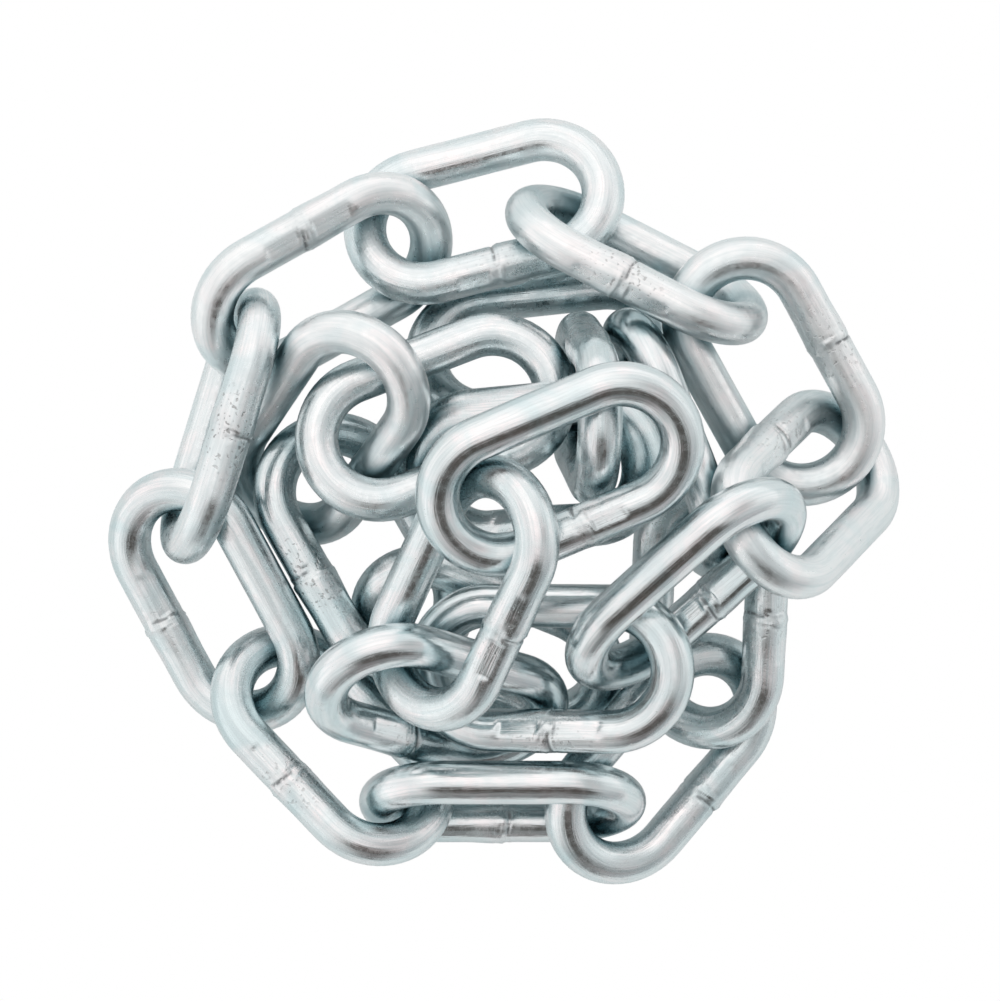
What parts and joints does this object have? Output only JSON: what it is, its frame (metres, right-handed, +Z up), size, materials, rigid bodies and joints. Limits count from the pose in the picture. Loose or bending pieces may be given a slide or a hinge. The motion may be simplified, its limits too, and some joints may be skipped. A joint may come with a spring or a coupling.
{
  "type": "heap of steel chain",
  "caption": "Loose length of short welded steel chain, bright zinc plated, let down in a low round heap of interlinked oval links.",
  "frame": {"origin": "middle of the heap's footprint on the floor", "axes": "+Z up from the floor; seen from above, +Y is the top of the picture and +X its right"},
  "size_m": [0.111, 0.1074, 0.0455],
  "materials": {
    "zinc": "bright zinc plate, slightly frosted"
  },
  "bodies": {
    "root": {"link_01": "zinc", "link_02": "zinc", "link_03": "zinc", "link_04": "zinc", "link_05": "zinc", "link_06": "zinc", "link_07": "zinc", "link_08": "zinc", "link_09": "zinc", "link_10": "zinc", "link_11": "zinc", "link_12": "zinc", "link_13": "zinc", "link_14": "zinc", "link_15": "zinc", "link_16": "zinc", "link_17": "zinc", "link_18": "zinc", "link_19": "zinc", "link_20": "zinc", "link_21": "zinc", "link_22": "zinc", "link_23": "zinc", "link_24": "zinc"}
  },
  "joints": []
}
